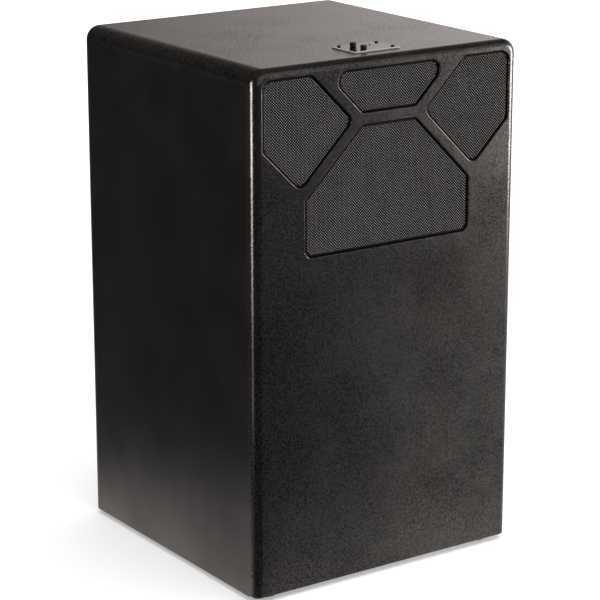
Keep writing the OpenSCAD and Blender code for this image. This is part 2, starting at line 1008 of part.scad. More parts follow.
// ---- Feet and fasteners ----

module foot_places() {
    for (sx = [-1, 1], sy = [-1, 1])
        translate([sx * foot_x, sy * foot_y, z_low])
            children();
}

module rubber_feet() {
    color("#161616")
        foot_places()
            translate([0, 0, -foot_h])
                difference() {
                    cylinder(r1 = foot_r - 1, r2 = foot_r, h = foot_h);
                    translate([0, 0, -bite])
                        cylinder(r = screw_r + 0.2, h = foot_h + 2 * bite);
                    translate([0, 0, -bite])
                        cylinder(r = 5, h = foot_h / 2 + bite);
                }
}

module foot_screws() {
    color("#8a8c8e")
        foot_places() {
            translate([0, 0, -foot_h / 2])
                cylinder(r = screw_r, h = foot_h / 2 + 8.5);
            translate([0, 0, -foot_h / 2 - 1.6])
                cylinder(r = 3.4, h = 1.6);
        }
}

module back_panel_screws() {
    color("#0e0e0e")
        for (p = back_screw_spots())
            countersunk_y(p[0], p[1], screw_r, head_r, back_face(p), 22);
}

// ---- Internal wiring ----

// Point and direction on a cubic curve
function curve(p, t) =
    pow(1 - t, 3) * p[0] + 3 * t * pow(1 - t, 2) * p[1] + 3 * t * t * (1 - t) * p[2] + pow(t, 3) * p[3];
function heading(p, t) =
    pow(1 - t, 2) * (p[1] - p[0]) + 2 * t * (1 - t) * (p[2] - p[1]) + t * t * (p[3] - p[2]);
function ring(p, t, r, sides) =
    let (
        fwd = heading(p, t) / norm(heading(p, t)),
        side = cross(fwd, [0.31, 0.23, 0.92]),
        u = side / norm(side),
        v = cross(fwd, u)
    )
    [for (k = [0 : sides - 1]) curve(p, t) + r * (cos(k * 360 / sides) * u + sin(k * 360 / sides) * v)];

// A round lead along a cubic curve
module lead(p, r) {
    sides = 8;
    steps = 16;
    points = [for (i = [0 : steps]) each ring(p, i / steps, r, sides)];
    walls = [
        for (i = [0 : steps - 1], k = [0 : sides - 1])
            [i * sides + k, i * sides + (k + 1) % sides,
             (i + 1) * sides + (k + 1) % sides, (i + 1) * sides + k]
    ];
    first = [for (k = [sides - 1 : -1 : 0]) k];
    last = [for (k = [0 : sides - 1]) steps * sides + k];
    polyhedron(points, concat([first, last], walls));
}

// A place on top of a plug
function on_plug(p, h) = [p[0], p[1], h];

module wiring_harness() {
    color("#3b3b3d") {
        for (i = [0 : 3])
            lead([
                [spots[i][0], pocket_y + 1, spots[i][1]],
                [spots[i][0], inner_y + 60, spots[i][1]],
                on_plug(pad_plug_at + [0, (i - 1.5) * 8], 260),
                on_plug(pad_plug_at + [0, (i - 1.5) * 8], plug_z)
            ], 1.1);
        lead([
            [12, plate_mid_y, control_board_z], [12, plate_mid_y, control_board_z - 120],
            on_plug(control_plug_at, 200), on_plug(control_plug_at, plug_z)
        ], 2);
        lead([
            [62, basket_y + 1, speaker_mid - 20], [62, basket_y - 60, speaker_mid - 20],
            on_plug(speaker_plug_at, 120), on_plug(speaker_plug_at, plug_z)
        ], 1.5);
        lead([
            [30, tub_y, pin_z - 40], [30, tub_y - 60, pin_z - 40],
            on_plug(battery_plug_at, 200), on_plug(battery_plug_at, plug_z)
        ], 1.5);
        lead([
            [-30, bay_y - 38, jack_floor - 0.8], [-30, bay_y - 90, jack_floor - 0.8],
            on_plug(jack_plug_at, 260), on_plug(jack_plug_at, plug_z)
        ], 2);
    }
}

front_plate();
seat_top();
left_side();
right_side();
bottom_panel();
back_panel();
front_battens();
back_battens();
seat_brace();
mirrored() pad_cover(side_outline);  // pad_cover_left
pad_cover(top_outline);  // pad_cover_top
pad_cover(side_outline);  // pad_cover_right
pad_cover(centre_outline);  // pad_cover_centre
mirrored() pad_plate(side_outline);  // pad_plate_left
pad_plate(top_outline);  // pad_plate_top
pad_plate(side_outline);  // pad_plate_right
pad_plate(centre_outline);  // pad_plate_centre
pad_sensor(spots[0]);  // pad_sensor_left
pad_sensor(spots[1]);  // pad_sensor_top
pad_sensor(spots[2]);  // pad_sensor_right
pad_sensor(spots[3]);  // pad_sensor_centre
mirrored() pad_foam(side_outline, side_spot);  // pad_foam_left
pad_foam(top_outline, top_spot);  // pad_foam_top
pad_foam(side_outline, side_spot);  // pad_foam_right
pad_foam(centre_outline, centre_spot);  // pad_foam_centre
control_plate();
control_screws();
volume_knob();
kit_knob();
volume_pot();
kit_switch();
control_board();
status_led();
main_board();
board_standoffs();
heat_sink();
speaker_basket();
speaker_magnet();
speaker_cone();
speaker_surround();
speaker_grille();
speaker_screws();
port_tube();
jack_plate();
jack_plate_screws();
line_out_jack();
phones_jack();
aux_jack();
dc_jack();
jack_board();
switch_housing();
switch_rocker();
battery_box();
battery_door();
hinge_pin();
batteries();
rubber_feet();
foot_screws();
back_panel_screws();
wiring_harness();
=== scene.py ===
"""Looks of an electronic cajon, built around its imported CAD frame.

Metres, +Z up, front at -Y. Every place comes from the frame or from the few sizes named below.
"""

import math
from collections import Counter

import bmesh
import bpy
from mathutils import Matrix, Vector


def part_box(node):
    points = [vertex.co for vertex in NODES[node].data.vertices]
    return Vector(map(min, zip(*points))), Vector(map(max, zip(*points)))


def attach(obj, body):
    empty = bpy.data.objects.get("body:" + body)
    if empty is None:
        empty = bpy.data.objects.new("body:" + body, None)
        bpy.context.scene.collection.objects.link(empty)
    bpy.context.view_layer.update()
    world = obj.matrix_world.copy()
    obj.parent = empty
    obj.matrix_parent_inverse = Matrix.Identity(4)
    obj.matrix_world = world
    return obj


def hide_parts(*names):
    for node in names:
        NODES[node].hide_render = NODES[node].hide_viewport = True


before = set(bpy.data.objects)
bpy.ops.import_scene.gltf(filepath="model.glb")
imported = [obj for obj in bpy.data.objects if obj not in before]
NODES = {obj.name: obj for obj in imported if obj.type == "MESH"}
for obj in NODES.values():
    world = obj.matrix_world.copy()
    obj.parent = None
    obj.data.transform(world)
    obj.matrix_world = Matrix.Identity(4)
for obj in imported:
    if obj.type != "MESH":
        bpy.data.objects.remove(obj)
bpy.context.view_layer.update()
MM = 0.001
X, Y, Z = Vector((1, 0, 0)), Vector((0, 1, 0)), Vector((0, 0, 1))


# ---- Camera ----

CAMERA_AZIMUTH = math.radians(-34.634)
CAMERA_ELEVATION = math.radians(16.001)
CAMERA_ROLL = math.radians(-0.019)
CAMERA_DISTANCE = 2.33
CAMERA_LENS = 143.618
CAMERA_TARGET = Vector((-0.0187, -0.0323, 0.2477))


def make_camera():
    """A long lens at the photograph's viewing angle."""
    data = bpy.data.cameras.new("camera")
    data.lens = CAMERA_LENS
    camera = bpy.data.objects.new("camera", data)
    bpy.context.scene.collection.objects.link(camera)
    away = Vector((
        math.sin(CAMERA_AZIMUTH) * math.cos(CAMERA_ELEVATION),
        -math.cos(CAMERA_AZIMUTH) * math.cos(CAMERA_ELEVATION),
        math.sin(CAMERA_ELEVATION),
    ))
    camera.location = CAMERA_TARGET + away * CAMERA_DISTANCE
    turn = away.to_track_quat("Z", "Y").to_matrix().to_4x4()
    camera.rotation_euler = turn.to_euler()
    camera.rotation_euler.rotate_axis("Z", CAMERA_ROLL)
    bpy.context.scene.camera = camera


# ---- Shader node helpers ----


class Shading:
    """A node tree with short ways to add and link nodes."""

    def __init__(self, owner):
        owner.use_nodes = True
        self.tree = owner.node_tree
        self.tree.nodes.clear()

    def add(self, kind, links=None, **settings):
        """A node; links maps its inputs to sockets or values, settings are its own properties."""
        node = self.tree.nodes.new("ShaderNode" + kind)
        for key, value in settings.items():
            setattr(node, key, value)
        for key, value in (links or {}).items():
            if isinstance(value, bpy.types.NodeSocket):
                self.tree.links.new(value, node.inputs[key])
            else:
                node.inputs[key].default_value = value
        return node

    def math(self, operation, a, b=0.0):
        return self.add("Math", {0: a, 1: b}, operation=operation).outputs[0]

    def ramp(self, value, low, high, to_low=0.0, to_high=1.0, smooth=True):
        """Value mapped from low..high to to_low..to_high, held at both ends."""
        node = self.add(
            "MapRange",
            {"Value": value, "From Min": low, "From Max": high, "To Min": to_low, "To Max": to_high},
            interpolation_type="SMOOTHSTEP" if smooth else "LINEAR",
        )
        return node.outputs[0]

    def spread(self, noise, low=0.0, high=1.0):
        """The middle of a noise's range, where most of it lies, mapped to low..high."""
        return self.ramp(noise, 0.3, 0.7, low, high)

    def mix(self, factor, a, b):
        node = self.add("Mix", {0: factor, 6: a, 7: b}, data_type="RGBA")
        return node.outputs[2]

    def place(self):
        return self.add("TexCoord").outputs["Object"]

    def stretched(self, vector, scale):
        return self.add("Mapping", {"Vector": vector, "Scale": scale}).outputs[0]

    def noise(self, vector, size, detail=3.0, rough=0.5):
        """Noise whose features are about that size in metres."""
        links = {"Vector": vector, "Scale": 1 / size, "Detail": detail, "Roughness": rough}
        return self.add("TexNoise", links).outputs["Fac"]

    def dot(self, vector, fixed):
        node = self.add("VectorMath", {0: vector, 1: fixed}, operation="DOT_PRODUCT")
        return node.outputs["Value"]

    def bump(self, height, distance):
        return self.add("Bump", {"Height": height, "Distance": distance, "Strength": 1.0}).outputs[0]

    def surface(self, **inputs):
        """Ends the tree in a Principled shader."""
        shader = self.add("BsdfPrincipled", inputs)
        out = self.add("OutputMaterial")
        self.tree.links.new(shader.outputs[0], out.inputs[0])


def grey(value, warmth=0.0):
    """A linear grey, leaning to brown with warmth."""
    return (value * (1 + warmth), value, value * (1 - warmth), 1.0)


# ---- Sizes that shapes and materials share ----

LATTICE_PITCH = 2.0 * MM
LATTICE_DEPTH = 0.6 * MM
PLATE_CHAMFER = 0.4 * MM


# ---- Materials ----

PAINT_CLOUD = 60 * MM       # size of the slow changes in the lacquer's gloss
PAINT_RELIEF = 0.05 * MM
PAINT_SPECULAR = 0.5
PEBBLE_SPARKLE = 0.2        # how far the pebbles move the specular level, either way
CLOUD_SPARKLE = 0.08        # how far the cloud moves it, either way

# strength of the texture and size of its grain
FRONT_PAINT = (1.1, 1.6 * MM)
SIDE_PAINT = (0.1, 1.5 * MM)
SEAT_PAINT = (2.1, 1.7 * MM)

HIGHLIGHT_START = 0.02 * MM      # below the control plate's top, where the black coat gives way to the chamfer's painted highlight
HIGHLIGHT_FULL = 0.08 * MM
WALL_BLUR = 0.1 * MM        # below the chamfer, how softly the painted highlight turns into the wall's lighter grey, painted against its shade

POINTER_HALF_WIDTH = 0.25 * MM
POINTER_START = 0.25 * MM   # ahead of the knob's middle
POINTER_DROP = 0.65 * MM    # how far the pointer reaches down the knob's side
POINTER_BLUR = 0.05 * MM
POINTER_SIDE_BLUR = 0.03 * MM


def black_paint(name, texture, grain):
    """Sprayed black lacquer: pebble grain of that strength and size, and a cloudy soft gloss."""
    material = bpy.data.materials.new(name)
    s = Shading(material)
    place = s.place()
    pebble = s.noise(place, grain, 2.0, 0.6)
    cloud = s.noise(place, PAINT_CLOUD)
    peak = s.ramp(pebble, 0.36, 0.64)
    tone = s.math("ADD", s.math("MULTIPLY", peak, texture), s.math("MULTIPLY", cloud, 0.3))
    sparkle = PEBBLE_SPARKLE * texture
    shine = s.ramp(peak, 0.0, 1.0, PAINT_SPECULAR - sparkle, PAINT_SPECULAR + sparkle, smooth=False)
    drift = s.ramp(cloud, 0.35, 0.65, -CLOUD_SPARKLE, CLOUD_SPARKLE)
    s.surface(**{
        "Base Color": s.mix(tone, grey(0.0005, 0.08), grey(0.009, 0.08)),
        "Roughness": s.spread(cloud, 0.215, 0.225),
        "IOR": 1.5,
        "Specular IOR Level": s.math("ADD", shine, drift),
        "Normal": s.bump(pebble, PAINT_RELIEF * texture),
    })
    return material


def pad_rubber():
    """Grey moulded rubber with painted light: its raised lattice points are painted pale as a painted
    highlight, and its valleys near black as painted shade.
    """
    material = bpy.data.materials.new("pad_rubber")
    s = Shading(material)
    place = s.place()
    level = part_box("pad_cover_top")[0].y
    valley, crest = level + 0.4 * LATTICE_DEPTH, level + 0.06 * LATTICE_DEPTH
    raised = s.ramp(s.dot(place, Y), valley, crest)
    cloud = s.noise(place, 25 * MM)
    # painted highlight on the raised points and painted shade in the valleys, varied at random by the
    # cloud
    painted_crest_light = s.math("MULTIPLY", raised, s.ramp(cloud, 0.2, 0.8, 0.8, 1.0))
    colour = s.mix(painted_crest_light, grey(0.001, 0.03), grey(0.85, 0.02))
    fine = s.noise(place, 0.2 * MM, 1.0)
    s.surface(**{
        "Base Color": colour,
        "Roughness": s.spread(fine, 0.5, 0.62),
        "Specular IOR Level": 0.08,
        "Normal": s.bump(fine, 0.01 * MM),
    })
    return material


def control_gloss():
    """Glossy black plate whose chamfer carries a painted highlight in light grey, and whose cut walls are
    painted a lighter grey against their shade.
    """
    material = bpy.data.materials.new("control_gloss")
    s = Shading(material)
    place = s.place()
    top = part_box("control_plate")[1].z
    depth = s.math("SUBTRACT", top, s.dot(place, Z))
    # painted highlight: the chamfer band is coloured light grey, not metallic, so the edge shows as a
    # bright line
    painted_highlight_band = s.ramp(depth, HIGHLIGHT_START, HIGHLIGHT_FULL)
    wall = s.ramp(depth, PLATE_CHAMFER + WALL_BLUR, PLATE_CHAMFER + 2 * WALL_BLUR)
    brushed = s.noise(place, 0.4 * MM, 2.0)
    streak = s.spread(brushed)
    coat = s.mix(streak, grey(0.002), grey(0.004))
    highlight_grey = s.mix(streak, grey(0.5, 0.03), grey(0.66, 0.03))
    # painted light: the cut wall is coloured a lighter grey so that it does not show dark in shade
    lightened_wall_grey = s.mix(streak, grey(0.2, 0.03), grey(0.27, 0.03))
    s.surface(**{
        "Base Color": s.mix(wall, s.mix(painted_highlight_band, coat, highlight_grey), lightened_wall_grey),
        "Roughness": s.math("ADD", s.spread(brushed, 0.1, 0.14), s.math("MULTIPLY", painted_highlight_band, 0.25)),
        "Normal": s.bump(brushed, 0.003 * MM),
    })
    return material


def knob_black(node):
    """Moulded knob with a pale pointer line from its middle to its front edge."""
    material = bpy.data.materials.new("finish_" + node)
    s = Shading(material)
    place = s.place()
    low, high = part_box(node)
    middle = (low + high) / 2
    aside = s.math("ABSOLUTE", s.math("SUBTRACT", s.dot(place, X), middle.x))
    edge, start, foot = POINTER_HALF_WIDTH, middle.y - POINTER_START, high.z - POINTER_DROP
    narrow = s.ramp(aside, edge - POINTER_SIDE_BLUR, edge + POINTER_SIDE_BLUR, 1.0, 0.0)
    ahead = s.ramp(s.dot(place, Y), start - POINTER_BLUR, start + POINTER_BLUR, 1.0, 0.0)
    upper = s.ramp(s.dot(place, Z), foot - POINTER_BLUR, foot + POINTER_BLUR)
    line = s.math("MULTIPLY", narrow, s.math("MULTIPLY", ahead, upper))
    grain = s.noise(place, 0.3 * MM, 2.0)
    black = s.mix(s.spread(grain), grey(0.0015), grey(0.004))
    s.surface(**{
        "Base Color": s.mix(line, black, grey(0.25)),
        "Specular IOR Level": 0.15,
        "Roughness": s.spread(grain, 0.35, 0.45),
        "Normal": s.bump(grain, 0.004 * MM),
    })
    return material


def bare_wood():
    """Birch battens: long pale fibres with darker growth lines."""
    material = bpy.data.materials.new("bare_wood")
    s = Shading(material)
    place = s.place()
    fibre = s.noise(s.stretched(place, (1, 1, 0.06)), 1.2 * MM, 4.0)
    growth = s.noise(s.stretched(place, (1, 1, 0.12)), 9 * MM, 2.0)
    tone = s.math("ADD", s.math("MULTIPLY", fibre, 0.5), s.math("MULTIPLY", growth, 0.5))
    colour = s.mix(s.ramp(tone, 0.35, 0.65), (0.42, 0.24, 0.10, 1), (0.62, 0.42, 0.22, 1))
    s.surface(**{
        "Base Color": colour,
        "Roughness": s.spread(fibre, 0.5, 0.7),
        "Normal": s.bump(fibre, 0.05 * MM),
    })
    return material


def circuit_board():
    """Green solder mask with paler copper runs under it."""
    material = bpy.data.materials.new("circuit_board")
    s = Shading(material)
    place = s.place()
    cells = s.add(
        "TexVoronoi", {"Vector": place, "Scale": 1 / (4 * MM)},
        distance="MANHATTAN", feature="F1",
    ).outputs["Distance"]
    runs = s.ramp(cells, 0.45, 0.5)
    colour = s.mix(runs, (0.006, 0.055, 0.018, 1), (0.02, 0.13, 0.045, 1))
    s.surface(**{
        "Base Color": colour,
        "Roughness": s.ramp(runs, 0.0, 1.0, 0.3, 0.42),
        "Normal": s.bump(runs, 0.03 * MM),
    })
    return material


def worked(name, dark, light, rough, size, relief, metallic=0.0, stretch=(1, 1, 1)):
    """A finish with its own grain: colour, roughness and relief all follow one noise."""
    material = bpy.data.materials.new(name)
    s = Shading(material)
    grain = s.noise(s.stretched(s.place(), stretch), size, 3.0)
    s.surface(**{
        "Base Color": s.mix(s.spread(grain), dark, light),
        "Roughness": s.spread(grain, *rough),
        "Metallic": metallic,
        "Normal": s.bump(grain, relief),
    })
    return material


# slot: dark and light colour, roughness range, grain size, relief, metallic, stretch of the grain
FINISHES = {
    "pad_stiffener": (grey(0.012), grey(0.02), (0.4, 0.5), 0.5 * MM, 0.01 * MM),
    "pad_foam": (grey(0.07), grey(0.11), (0.85, 0.95), 0.8 * MM, 0.15 * MM),
    "sensor_brass": ((0.62, 0.42, 0.14, 1), (0.75, 0.55, 0.22, 1), (0.25, 0.4), 0.4 * MM, 0.005 * MM, 1),
    "black_steel": (grey(0.012), grey(0.025), (0.32, 0.45), 0.3 * MM, 0.004 * MM, 0.6),
    "knob_black": (grey(0.006), grey(0.012), (0.28, 0.4), 0.3 * MM, 0.006 * MM),
    "pot_case": ((0.02, 0.06, 0.04, 1), (0.03, 0.09, 0.06, 1), (0.4, 0.5), 0.5 * MM, 0.01 * MM),
    "led_lens": (grey(0.02), grey(0.035), (0.1, 0.18), 0.8 * MM, 0.002 * MM),
    "standoff_brass": ((0.55, 0.4, 0.15, 1), (0.72, 0.54, 0.24, 1), (0.25, 0.4), 0.4 * MM, 0.004 * MM, 1),
    "raw_aluminium": (grey(0.5), grey(0.66), (0.35, 0.5), 0.4 * MM, 0.01 * MM, 1, (1, 0.1, 1)),
    "basket_paint": (grey(0.02), grey(0.035), (0.35, 0.5), 0.6 * MM, 0.01 * MM, 0.4),
    "magnet_ferrite": (grey(0.018), grey(0.035), (0.6, 0.75), 0.7 * MM, 0.03 * MM),
    "cone_paper": (grey(0.012, 0.05), grey(0.028, 0.05), (0.75, 0.9), 1.2 * MM, 0.08 * MM),
    "surround_rubber": (grey(0.012), grey(0.02), (0.4, 0.55), 0.8 * MM, 0.01 * MM),
    "grille_paint": (grey(0.012), grey(0.02), (0.4, 0.52), 0.35 * MM, 0.01 * MM, 0.3),
    "moulded_black": (grey(0.011), grey(0.018), (0.42, 0.56), 0.5 * MM, 0.02 * MM),
    "plate_paint": (grey(0.010), grey(0.017), (0.4, 0.5), 0.35 * MM, 0.012 * MM, 0.3),
    "jack_black": (grey(0.010), grey(0.018), (0.3, 0.42), 0.4 * MM, 0.008 * MM),
    "rocker_black": (grey(0.007), grey(0.012), (0.18, 0.28), 0.5 * MM, 0.004 * MM),
    "plated_steel": (grey(0.45), grey(0.6), (0.22, 0.36), 0.4 * MM, 0.004 * MM, 1),
    "cell_sleeve": ((0.16, 0.02, 0.012, 1), (0.26, 0.035, 0.02, 1), (0.25, 0.4), 2 * MM, 0.006 * MM),
    "foot_rubber": (grey(0.010), grey(0.02), (0.6, 0.75), 0.5 * MM, 0.03 * MM),
    "wire_sheath": (grey(0.02), grey(0.035), (0.4, 0.55), 1.5 * MM, 0.01 * MM),
}


def make_materials():
    """One material for each slot of the record."""
    made = {slot: worked(slot, *values) for slot, values in FINISHES.items()}
    made["black_paint"] = black_paint("black_paint", *FRONT_PAINT)
    made["pad_rubber"] = pad_rubber()
    made["control_gloss"] = control_gloss()
    made["bare_wood"] = bare_wood()
    made["circuit_board"] = circuit_board()
    return made


def paint_cad_nodes(materials):
    """Gives every carried-over CAD node the worked material of its slot; the boards differ in grain."""
    smooth = black_paint("smooth_paint", *SIDE_PAINT)
    coarse = black_paint("coarse_paint", *SEAT_PAINT)
    boards = {"left_side": smooth, "right_side": smooth, "seat_top": coarse}
    for name, node in NODES.items():
        if name in boards:
            node.material_slots[0].material = boards[name]
            continue
        for holder in node.material_slots:
            holder.material = materials[holder.material.name.split(".")[0]]


# ---- Mesh helpers ----

SAME_PLACE = 1e-6       # vertices closer than this are one
IN_PLANE = 1e-5         # a face this near a plane lies in it
MITRE_LIMIT = 0.3       # keeps the mitre of a sharp corner from running away


def plane_loops(node, axis, level):
    """The closed outlines of a CAD node's faces that lie in one plane, as lists of points.

    Faces and edges are kept in dicts, whose order is the same in every run, where a set's is not.
    """
    bm = bmesh.new()
    bm.from_mesh(NODES[node].data)
    bmesh.ops.remove_doubles(bm, verts=bm.verts, dist=SAME_PLACE)
    flat = dict.fromkeys(
        f for f in bm.faces if all(abs(v.co[axis] - level) < IN_PLANE for v in f.verts)
    )
    rim = dict.fromkeys(
        e for f in flat for e in f.edges if sum(g in flat for g in e.link_faces) == 1
    )
    loops = []
    while rim:
        edge = rim.popitem()[0]
        first, here = edge.verts
        loop = [first.co.copy(), here.co.copy()]
        while True:
            edge = next((e for e in here.link_edges if e in rim), None)
            if edge is None:
                break
            del rim[edge]
            here = edge.other_vert(here)
            if here is not first:
                loop.append(here.co.copy())
        loops.append(loop)
    bm.free()
    return loops


def signed_area(loop, face):
    """Twice the loop's area, positive when it runs anticlockwise seen against the face direction."""
    return sum(a.cross(b).dot(face) for a, b in zip(loop, loop[1:] + loop[:1]))


def biggest_last(loops, face):
    """The loops by size, so that the outer one comes last."""
    return sorted(loops, key=lambda loop: abs(signed_area(loop, face)))


def outward(loop, face):
    """For each point of a closed loop, the mitred step that moves it out by one metre."""
    sense = 1 if signed_area(loop, face) > 0 else -1
    steps = []
    for before, here, after in zip(loop[-1:] + loop[:-1], loop, loop[1:] + loop[:1]):
        into = (here - before).normalized().cross(face) * sense
        onto = (after - here).normalized().cross(face) * sense
        middle = (into + onto).normalized()
        steps.append(middle / max(middle.dot(into), MITRE_LIMIT))
    return steps


def ring(bm, loop, steps, face, out, down):
    """A ring of vertices moved out along the steps and down from the face."""
    return [bm.verts.new(p + s * out - face * down) for p, s in zip(loop, steps)]


def skin(bm, rings, closed=True):
    """Quads between neighbouring rings."""
    for one, two in zip(rings, rings[1:]):
        count = len(one)
        for i in range(count if closed else count - 1):
            j = (i + 1) % count
            bm.faces.new((one[i], one[j], two[j], two[i]))


def fill(bm, rings, face, edges=()):
    """A flat face between an outer ring and what lies inside it: more rings, or other edges."""
    edges = list(edges)
    for loop in rings:
        for a, b in zip(loop, loop[1:] + loop[:1]):
            edges.append(bm.edges.get((a, b)) or bm.edges.new((a, b)))
    bmesh.ops.triangle_fill(bm, use_beauty=True, use_dissolve=False, edges=edges, normal=face)


def quarter(radius, count):
    """A quarter round as (out, down) pairs, from the flat face to the wall below it."""
    turns = [math.pi / 2 * i / count for i in range(count + 1)]
    return [(radius * (1 - math.sin(t)), radius * (1 - math.cos(t))) for t in turns]


def make_piece(name, bm, body, material, replaced, sharp=40):
    """Turns a bmesh into a piece that rides on a body and stands for the replaced nodes."""
    bmesh.ops.remove_doubles(bm, verts=bm.verts, dist=1e-7)
    bmesh.ops.recalc_face_normals(bm, faces=bm.faces)
    mesh = bpy.data.meshes.new(name)
    bm.to_mesh(mesh)
    bm.free()
    mesh.shade_smooth()
    mesh.set_sharp_from_angle(angle=math.radians(sharp))
    mesh.materials.append(material)
    piece = bpy.data.objects.new(name, mesh)
    bpy.context.scene.collection.objects.link(piece)
    weigh = piece.modifiers.new("flat_faces", "WEIGHTED_NORMAL")
    weigh.keep_sharp = True
    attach(piece, body)
    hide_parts(*replaced)
    return piece


# ---- Front board ----

EDGE_R = 8.3 * MM       # round-over of the board's outer edges
SHOULDER_R = 14 * MM    # corner seen from the front
POCKET_RIM_R = 1.0 * MM
FOOT_EASE_R = 2 * MM    # easing of the lower edge
ARC_STEPS = 12
POCKET_ARC_STEPS = 5
SMALL_ARC_STEPS = 4


def arch_path(low, high, ease):
    """The board's outline up one side, over both shoulders and down the other, with normals."""
    points = [(Vector((low.x, 0, low.z + ease)), -X)]
    for sign, start in ((-1, math.pi), (1, math.pi / 2)):
        centre = Vector((sign * (high.x - SHOULDER_R), 0, high.z - SHOULDER_R))
        for i in range(ARC_STEPS + 1):
            turn = start - math.pi / 2 * i / ARC_STEPS
            normal = Vector((math.cos(turn), 0, math.sin(turn)))
            points.append((centre + normal * SHOULDER_R, normal))
    points.append((Vector((high.x, 0, low.z + ease)), X))
    return points


def front_board(material):
    """The front board with rounded outer edges, eased foot and soft-rimmed pockets."""
    low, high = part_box("front_plate")
    pockets = biggest_last(plane_loops("front_plate", 1, low.y), -Y)[:-1]
    floor_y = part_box("pad_foam_top")[1].y
    bm = bmesh.new()
    path = arch_path(low, high, FOOT_EASE_R)
    profile = quarter(EDGE_R, ARC_STEPS) + [(0, high.y - low.y)]
    rows = [
        [bm.verts.new(Vector((p.x, low.y, p.z)) - n * out + Y * down) for p, n in path]
        for out, down in profile
    ]
    skin(bm, rows, closed=False)
    # the foot: the two ends of the arch joined by the front's lower line, eased inwards
    foot = [row[0] for row in reversed(rows)] + [row[-1] for row in rows]
    normals = []
    for v in foot:
        arc_x = low.x + EDGE_R if v.co.x < 0 else high.x - EDGE_R
        lean = Vector((v.co.x - arc_x, v.co.y - (low.y + EDGE_R), 0))
        if v.co.y > low.y + EDGE_R:
            lean = X if v.co.x > 0 else -X
        normals.append(lean.normalized())
    foot_rows = [foot]
    for out, down in quarter(FOOT_EASE_R, SMALL_ARC_STEPS)[1:]:
        shift = FOOT_EASE_R - out
        foot_rows.append([
            bm.verts.new(v.co - n * down - Z * shift) for v, n in zip(foot, normals)
        ])
    skin(bm, foot_rows, closed=False)
    fill(bm, [foot_rows[-1]], -Z)
    # front face between the outer edge and the pocket rims
    rims, floors = [], []
    for loop in pockets:
        steps = outward(loop, -Y)
        rim = quarter(POCKET_RIM_R, POCKET_ARC_STEPS)
        rings = [ring(bm, loop, steps, -Y, out, down) for out, down in rim]
        rings.append(ring(bm, loop, steps, -Y, 0, floor_y - low.y))
        skin(bm, rings)
        rims.append(rings[0])
        floors.append(rings[-1])
    fill(bm, [rows[0], *rims], -Y)
    eased = foot_rows[1:]
    back = rows[-1] + [row[-1] for row in eased] + [row[0] for row in reversed(eased)]
    fill(bm, [back], Y)
    for loop in floors:
        fill(bm, [loop], -Y)
    return make_piece("front_board", bm, "box", material, ["front_plate"])


# ---- Pads ----

LATTICE_BORDER = 0.42 * MM
PAD_RIM_R = 0.4 * MM
PAD_EASE = 0.15 * MM        # how far the cover stands inside the CAD cover's outline, all round
LATTICE_MARGIN = 0.2 * MM   # kept clear between the border and the nearest raised points


def inside(point, loop):
    """True if the point is inside the loop, both seen along Y."""
    within = False
    for a, b in zip(loop, loop[1:] + loop[:1]):
        if (a.z > point.z) != (b.z > point.z):
            if point.x < a.x + (point.z - a.z) * (b.x - a.x) / (b.z - a.z):
                within = not within
    return within


def lattice(bm, border, level):
    """Raised points in diagonal rows that fill a border; returns the edges round them."""
    half = LATTICE_PITCH / math.sqrt(2)
    lows = [min(p[k] for p in border) for k in (0, 2)]
    highs = [max(p[k] for p in border) for k in (0, 2)]
    corners, cells = {}, []
    span_i = range(int(lows[0] / half) - 1, int(highs[0] / half) + 2)
    span_k = range(int(lows[1] / half) - 1, int(highs[1] / half) + 2)
    near = {}
    for i in span_i:
        for k in span_k:
            near[i, k] = inside(Vector((i * half, level, k * half)), border)
    for i in span_i:
        for k in span_k:
            around = [(i - 1, k), (i, k - 1), (i + 1, k), (i, k + 1)]
            if (i + k) % 2 == 0 and all(near.get(a) for a in around):
                cells.append(((i, k), around))
    uses = Counter()
    for (i, k), around in cells:
        peak = bm.verts.new((i * half, level, k * half))
        for a in around:
            if a not in corners:
                corners[a] = bm.verts.new((a[0] * half, level + LATTICE_DEPTH, a[1] * half))
        for a, b in zip(around, around[1:] + around[:1]):
            uses.update(bm.faces.new((peak, corners[a], corners[b])).edges)
    return [edge for edge, count in uses.items() if count == 1]


def pad_cover(side, material):
    """A pad's rubber cover: a lattice of raised points inside a lower rounded rim."""
    node = "pad_cover_" + side
    low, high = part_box(node)
    loop = plane_loops(node, 1, low.y)[0]
    steps = outward(loop, -Y)
    bm = bmesh.new()
    rings = [
        ring(bm, loop, steps, -Y, -out - PAD_EASE, LATTICE_DEPTH + down)
        for out, down in quarter(PAD_RIM_R, SMALL_ARC_STEPS)
    ]
    rings.append(ring(bm, loop, steps, -Y, -PAD_EASE, high.y - low.y))
    skin(bm, rings)
    fill(bm, [rings[-1]], Y)
    inner = ring(bm, loop, steps, -Y, -LATTICE_BORDER, LATTICE_DEPTH)
    skin(bm, [rings[0], inner])
    border = [p - s * (LATTICE_BORDER + LATTICE_MARGIN) for p, s in zip(loop, steps)]
    outline = lattice(bm, border, low.y)
    fill(bm, [inner], -Y, outline)
    name = "lattice_cover_" + side
    return make_piece(name, bm, "pad_" + side, material, [node], sharp=20)


# ---- Top controls ----

